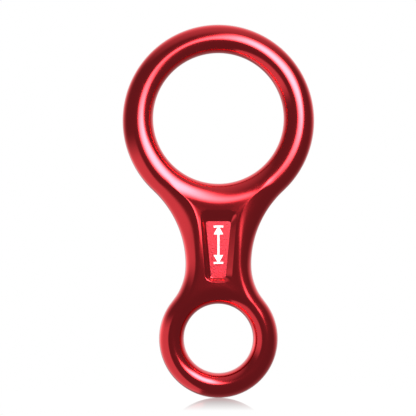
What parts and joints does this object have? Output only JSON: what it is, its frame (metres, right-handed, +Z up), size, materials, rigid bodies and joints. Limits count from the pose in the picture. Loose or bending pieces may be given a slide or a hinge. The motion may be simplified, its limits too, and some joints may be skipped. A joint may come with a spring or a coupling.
{
  "type": "rope descender",
  "caption": "Figure-eight rope descender: forged aluminium body with a large rope eye, a small carabiner eye and a recessed label pocket in the waisted shank.",
  "frame": {"origin": "centre of the small carabiner eye, halfway through the thickness", "axes": "+Z up along the length with the large rope eye on top, Y through the thickness along both eyes' axes, the marked front face looking towards -Y, +X to the right seen from the front"},
  "size_m": [0.075, 0.012, 0.1459],
  "materials": {
    "red_anodised_aluminium": "polished forging, red anodised, satin gloss",
    "white_mark_paint": "flat white paint filling an engraving"
  },
  "bodies": {
    "root": {"descender_body": "red_anodised_aluminium", "load_mark": "white_mark_paint"}
  },
  "joints": []
}
